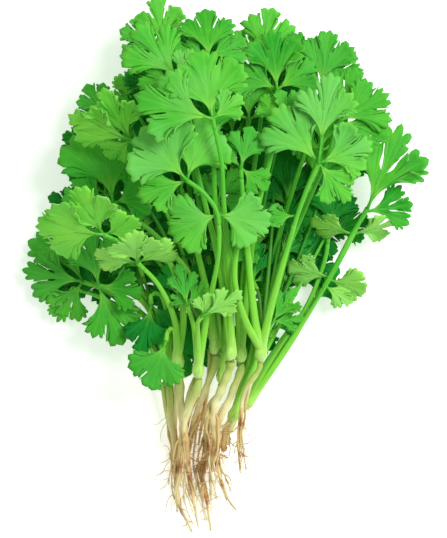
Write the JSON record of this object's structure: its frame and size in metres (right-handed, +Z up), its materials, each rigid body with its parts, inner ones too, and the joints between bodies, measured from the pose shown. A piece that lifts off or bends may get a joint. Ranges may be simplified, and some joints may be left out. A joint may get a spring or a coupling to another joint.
{
  "type": "coriander bunch",
  "caption": "Bunch of fresh young coriander laid down: toothed three-lobed leaflets on long green stalks, pale swollen crowns and tan taproots with rootlets.",
  "frame": {"origin": "middle of the bunch's outline, on the surface it lies on", "axes": "+Y from the roots to the leaf tips, +Z up from the surface, +X to the right seen from above with the leaves away from the viewer"},
  "size_m": [0.1909, 0.2529, 0.069],
  "materials": {
    "leaf_dark": "matt leaf, deep green, in the shade of the bunch",
    "leaf_mid": "soft leaf with a faint sheen, mid green",
    "leaf_bright": "soft leaf with a faint sheen, fresh green",
    "leaf_pale": "matt leaf, pale green, seen from its underside",
    "stalk": "smooth juicy stalk, yellow-green, whitish at the crown",
    "root": "matt root, cream to tan with brown patches"
  },
  "bodies": {
    "root": {"plant_01_root": "root", "plant_01_stems": "stalk", "plant_01_leaf_a": "leaf_mid", "plant_01_leaf_b": "leaf_mid", "plant_01_leaf_c": "leaf_dark", "plant_01_leaf_d": "leaf_dark", "plant_01_leaf_e": "leaf_dark", "plant_02_root": "root", "plant_02_stems": "stalk", "plant_02_leaf_a": "leaf_pale", "plant_02_leaf_b": "leaf_bright", "plant_02_leaf_c": "leaf_mid", "plant_03_root": "root", "plant_03_stems": "stalk", "plant_03_leaf_a": "leaf_bright", "plant_03_leaf_b": "leaf_pale", "plant_03_leaf_c": "leaf_pale", "plant_04_root": "root", "plant_04_stems": "stalk", "plant_04_leaf_a": "leaf_dark", "plant_04_leaf_b": "leaf_bright", "plant_04_leaf_c": "leaf_dark", "plant_05_root": "root", "plant_05_stems": "stalk", "plant_05_leaf_a": "leaf_dark", "plant_05_leaf_b": "leaf_bright", "plant_05_leaf_c": "leaf_mid", "plant_05_leaf_d": "leaf_dark", "plant_05_leaf_e": "leaf_dark", "plant_05_leaf_f": "leaf_dark", "plant_05_leaf_g": "leaf_dark", "plant_06_root": "root", "plant_06_stems": "stalk", "plant_06_leaf_a": "leaf_bright", "plant_06_leaf_b": "leaf_bright", "plant_06_leaf_c": "leaf_mid", "plant_07_root": "root", "plant_07_stems": "stalk", "plant_07_leaf_a": "leaf_mid", "plant_07_leaf_b": "leaf_bright", "plant_07_leaf_c": "leaf_mid", "plant_08_root": "root", "plant_08_stems": "stalk", "plant_08_leaf_a": "leaf_bright", "plant_08_leaf_b": "leaf_mid", "plant_08_leaf_c": "leaf_mid", "plant_09_root": "root", "plant_09_stems": "stalk", "plant_09_leaf_a": "leaf_mid", "plant_09_leaf_b": "leaf_mid", "plant_09_leaf_c": "leaf_dark", "plant_09_leaf_d": "leaf_pale", "plant_09_leaf_e": "leaf_dark", "plant_09_leaf_f": "leaf_dark", "plant_10_root": "root", "plant_10_stems": "stalk", "plant_10_leaf_a": "leaf_mid", "plant_10_leaf_b": "leaf_dark"}
  },
  "joints": []
}
